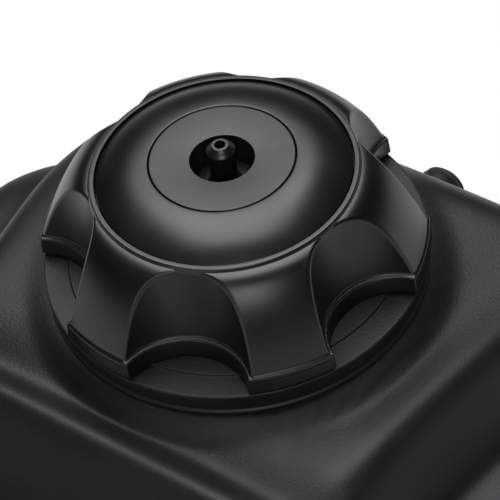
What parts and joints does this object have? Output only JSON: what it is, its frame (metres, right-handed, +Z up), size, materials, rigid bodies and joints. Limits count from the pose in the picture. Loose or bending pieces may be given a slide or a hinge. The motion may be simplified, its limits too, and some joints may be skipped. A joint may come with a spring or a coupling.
{
  "type": "motorcycle fuel tank",
  "caption": "Small saddle fuel tank for an off-road motorcycle: moulded shell over a frame tunnel, scalloped screw cap with vent nipple, fuel tap and bushed mounts.",
  "frame": {"origin": "under the middle of the tank, on the plane its two feet stand on", "axes": "+X forward along the machine, +Y to the rider's left, +Z up"},
  "size_m": [0.304, 0.223, 0.1799],
  "materials": {
    "tank_moulding": "fine moulded grain, satin black polyethylene",
    "cap_moulding": "fine spark-eroded texture, black nylon",
    "rubber": "matt black",
    "tap_alloy": "die-cast, tumbled",
    "zinc_steel": "bright zinc plate",
    "brass": "turned",
    "strainer_nylon": "natural nylon"
  },
  "bodies": {
    "tank": {"tank_shell": "tank_moulding", "rear_tongue": "tank_moulding", "front_ear": "tank_moulding", "shroud_bosses": "tank_moulding", "filler_neck": "tank_moulding", "tap_body": "tap_alloy", "tap_flange_gasket": "rubber", "tap_screws": "zinc_steel", "tap_washers": "zinc_steel", "tap_threaded_inserts": "brass", "tap_standpipe": "brass", "tap_strainer": "strainer_nylon", "tap_valve_packing": "rubber", "tap_wave_washer": "zinc_steel", "tap_lever_plate": "zinc_steel", "tap_plate_screws": "zinc_steel", "shroud_threaded_inserts": "brass", "rear_grommet": "rubber", "rear_sleeve": "zinc_steel", "front_grommet": "rubber", "front_sleeve": "zinc_steel"},
    "cap_seal": {"cap_gasket": "rubber"},
    "cap": {"cap_grip": "cap_moulding", "cap_cover": "cap_moulding", "cap_centre_disc": "cap_moulding", "vent_nipple": "cap_moulding", "cap_insert": "cap_moulding"},
    "lever": {"tap_lever": "tap_alloy"}
  },
  "joints": [
    {"name": "cap_rise", "type": "slide", "parent": "tank", "child": "cap_seal", "axis": [0, 0, 1], "range_m": [0, 0.018]},
    {"name": "cap_turn", "type": "hinge", "parent": "cap_seal", "child": "cap", "pos_m": [0.032, 0, 0.16], "axis": [0, 0, 1], "range_deg": [0, 1080]},
    {"name": "tap_lever_turn", "type": "hinge", "parent": "tank", "child": "lever", "pos_m": [-0.0745, 0.07, 0.024], "axis": [0, 1, 0], "range_deg": [-90, 90]}
  ],
  "couplings": [
    {"joint": "cap_rise", "follows": "cap_turn", "m_per_rad": 0.00095493}
  ]
}
